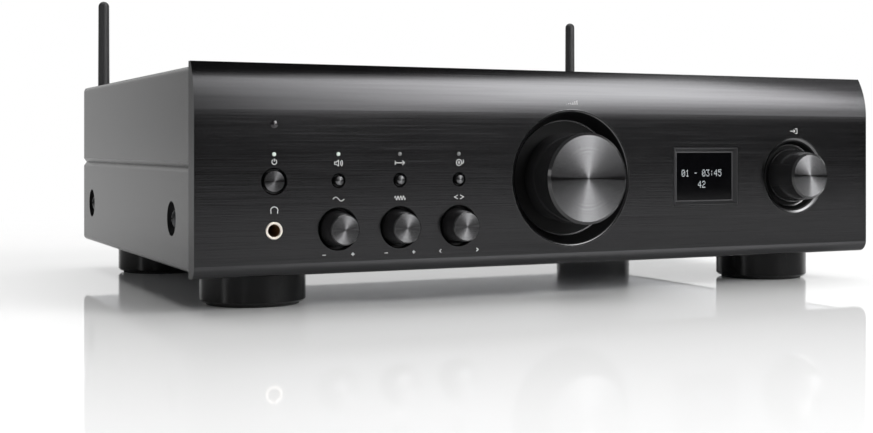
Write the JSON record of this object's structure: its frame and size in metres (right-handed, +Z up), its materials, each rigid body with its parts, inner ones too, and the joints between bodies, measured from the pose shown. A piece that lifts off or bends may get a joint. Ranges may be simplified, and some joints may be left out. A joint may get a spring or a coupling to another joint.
{
  "type": "stereo receiver",
  "caption": "Full-width stereo receiver: curved brushed black front with dished volume and selector wells, tone knobs, buttons and a display, steel case, rear sockets, folding antennas.",
  "frame": {"origin": "on the floor under the middle of the whole box, antennas included", "axes": "+X to the right seen from the front, +Y to the rear, +Z up"},
  "size_m": [0.434, 0.348, 0.189],
  "materials": {
    "panel_black": "black anodised, brushed along its length",
    "dish_black": "black anodised, turned",
    "knob_metal": "spun face, dark anodised",
    "cover_paint": "satin charcoal paint",
    "rear_paint": "satin black paint",
    "chassis_steel": "zinc plated",
    "screw_black": "black zinc",
    "moulding_black": "moulded black",
    "pad_rubber": "matt",
    "window_black": "polished smoked acrylic",
    "lens_clear": "frosted clear",
    "jack_gold": "gold plated",
    "insert_red": "moulded",
    "cap_red": "moulded",
    "cap_black": "moulded",
    "shaft_steel": "ground",
    "control_metal": "die cast",
    "core_iron": "varnished laminations",
    "winding_copper": "taped copper wire",
    "sink_aluminium": "extruded",
    "board_green": "solder resist",
    "can_sleeve": "shrink sleeve"
  },
  "bodies": {
    "receiver": {"front_panel": "panel_black", "volume_dish": "dish_black", "selector_dish": "dish_black", "display_frame": "dish_black", "top_cover": "cover_paint", "rear_panel": "rear_paint", "bottom_chassis": "chassis_steel", "case_screws": "screw_black", "front_subframe": "moulding_black", "feet": "moulding_black", "button_switches": "moulding_black", "digital_sockets": "moulding_black", "mains_inlet": "moulding_black", "terminal_block": "moulding_black", "power_transistors": "moulding_black", "foot_pads": "pad_rubber", "display_window": "window_black", "display_module": "window_black", "front_lenses": "lens_clear", "phones_jack": "jack_gold", "rca_jacks": "jack_gold", "terminal_posts": "jack_gold", "antenna_sockets": "jack_gold", "rca_inserts": "insert_red", "rotary_controls": "control_metal", "transformer_core": "core_iron", "transformer_winding": "winding_copper", "heat_sink": "sink_aluminium", "amplifier_board": "board_green", "input_board": "board_green", "network_module": "board_green", "control_board": "board_green", "filter_capacitors": "can_sleeve"},
    "power_button": {"power_button": "knob_metal"},
    "speaker_button": {"speaker_button": "knob_metal"},
    "direct_button": {"direct_button": "knob_metal"},
    "phono_button": {"phono_button": "knob_metal"},
    "volume_knob": {"volume_knob": "knob_metal", "volume_shaft": "shaft_steel"},
    "selector_knob": {"selector_knob": "knob_metal", "selector_shaft": "shaft_steel"},
    "bass_knob": {"bass_knob": "knob_metal", "bass_shaft": "shaft_steel"},
    "treble_knob": {"treble_knob": "knob_metal", "treble_shaft": "shaft_steel"},
    "balance_knob": {"balance_knob": "knob_metal", "balance_shaft": "shaft_steel"},
    "terminal_cap_1": {"terminal_cap_1": "cap_red"},
    "terminal_cap_2": {"terminal_cap_2": "cap_black"},
    "terminal_cap_3": {"terminal_cap_3": "cap_red"},
    "terminal_cap_4": {"terminal_cap_4": "cap_black"},
    "terminal_cap_5": {"terminal_cap_5": "cap_red"},
    "terminal_cap_6": {"terminal_cap_6": "cap_black"},
    "terminal_cap_7": {"terminal_cap_7": "cap_red"},
    "terminal_cap_8": {"terminal_cap_8": "cap_black"},
    "ground_nut": {"ground_nut": "shaft_steel"},
    "antenna_elbow_left": {"antenna_elbow_left": "moulding_black"},
    "antenna_rod_left": {"antenna_rod_left": "moulding_black"},
    "antenna_elbow_right": {"antenna_elbow_right": "moulding_black"},
    "antenna_rod_right": {"antenna_rod_right": "moulding_black"}
  },
  "joints": [
    {"name": "power_button_press", "type": "slide", "parent": "receiver", "child": "power_button", "axis": [0, 1, 0], "range_m": [0, 0.0015], "stiffness_N_per_m": 1500, "springref_m": -0.0005},
    {"name": "speaker_button_press", "type": "slide", "parent": "receiver", "child": "speaker_button", "axis": [0, 1, 0], "range_m": [0, 0.001], "stiffness_N_per_m": 1500, "springref_m": -0.0005},
    {"name": "direct_button_press", "type": "slide", "parent": "receiver", "child": "direct_button", "axis": [0, 1, 0], "range_m": [0, 0.001], "stiffness_N_per_m": 1500, "springref_m": -0.0005},
    {"name": "phono_button_press", "type": "slide", "parent": "receiver", "child": "phono_button", "axis": [0, 1, 0], "range_m": [0, 0.001], "stiffness_N_per_m": 1500, "springref_m": -0.0005},
    {"name": "volume_turn", "type": "hinge", "parent": "receiver", "child": "volume_knob", "pos_m": [0, -0.15645, 0.0665], "axis": [0, 1, 0], "continuous": true},
    {"name": "selector_turn", "type": "hinge", "parent": "receiver", "child": "selector_knob", "pos_m": [0.159, -0.15645, 0.0665], "axis": [0, 1, 0], "continuous": true},
    {"name": "bass_turn", "type": "hinge", "parent": "receiver", "child": "bass_knob", "pos_m": [-0.1408, -0.15645, 0.0415], "axis": [0, 1, 0], "range_deg": [-150, 150]},
    {"name": "treble_turn", "type": "hinge", "parent": "receiver", "child": "treble_knob", "pos_m": [-0.106, -0.15645, 0.0415], "axis": [0, 1, 0], "range_deg": [-150, 150]},
    {"name": "balance_turn", "type": "hinge", "parent": "receiver", "child": "balance_knob", "pos_m": [-0.0712, -0.15645, 0.0415], "axis": [0, 1, 0], "range_deg": [-150, 150]},
    {"name": "terminal_cap_1_screw", "type": "hinge", "parent": "receiver", "child": "terminal_cap_1", "pos_m": [-0.03, 0.14255, 0.057], "axis": [0, 1, 0], "range_deg": [0, 1080]},
    {"name": "terminal_cap_2_screw", "type": "hinge", "parent": "receiver", "child": "terminal_cap_2", "pos_m": [-0.049, 0.14255, 0.057], "axis": [0, 1, 0], "range_deg": [0, 1080]},
    {"name": "terminal_cap_3_screw", "type": "hinge", "parent": "receiver", "child": "terminal_cap_3", "pos_m": [-0.084, 0.14255, 0.057], "axis": [0, 1, 0], "range_deg": [0, 1080]},
    {"name": "terminal_cap_4_screw", "type": "hinge", "parent": "receiver", "child": "terminal_cap_4", "pos_m": [-0.103, 0.14255, 0.057], "axis": [0, 1, 0], "range_deg": [0, 1080]},
    {"name": "terminal_cap_5_screw", "type": "hinge", "parent": "receiver", "child": "terminal_cap_5", "pos_m": [-0.03, 0.14255, 0.084], "axis": [0, 1, 0], "range_deg": [0, 1080]},
    {"name": "terminal_cap_6_screw", "type": "hinge", "parent": "receiver", "child": "terminal_cap_6", "pos_m": [-0.049, 0.14255, 0.084], "axis": [0, 1, 0], "range_deg": [0, 1080]},
    {"name": "terminal_cap_7_screw", "type": "hinge", "parent": "receiver", "child": "terminal_cap_7", "pos_m": [-0.084, 0.14255, 0.084], "axis": [0, 1, 0], "range_deg": [0, 1080]},
    {"name": "terminal_cap_8_screw", "type": "hinge", "parent": "receiver", "child": "terminal_cap_8", "pos_m": [-0.103, 0.14255, 0.084], "axis": [0, 1, 0], "range_deg": [0, 1080]},
    {"name": "ground_nut_screw", "type": "hinge", "parent": "receiver", "child": "ground_nut", "pos_m": [0.188, 0.14255, 0.056], "axis": [0, 1, 0], "range_deg": [0, 1080]},
    {"name": "antenna_swivel_left", "type": "hinge", "parent": "receiver", "child": "antenna_elbow_left", "pos_m": [-0.196, 0.16955, 0.09], "axis": [0, 1, 0], "range_deg": [-90, 90]},
    {"name": "antenna_fold_left", "type": "hinge", "parent": "antenna_elbow_left", "child": "antenna_rod_left", "pos_m": [-0.196, 0.16955, 0.09], "axis": [-1, 0, 0], "range_deg": [0, 90]},
    {"name": "antenna_swivel_right", "type": "hinge", "parent": "receiver", "child": "antenna_elbow_right", "pos_m": [0.196, 0.16955, 0.09], "axis": [0, 1, 0], "range_deg": [-90, 90]},
    {"name": "antenna_fold_right", "type": "hinge", "parent": "antenna_elbow_right", "child": "antenna_rod_right", "pos_m": [0.196, 0.16955, 0.09], "axis": [-1, 0, 0], "range_deg": [0, 90]}
  ]
}
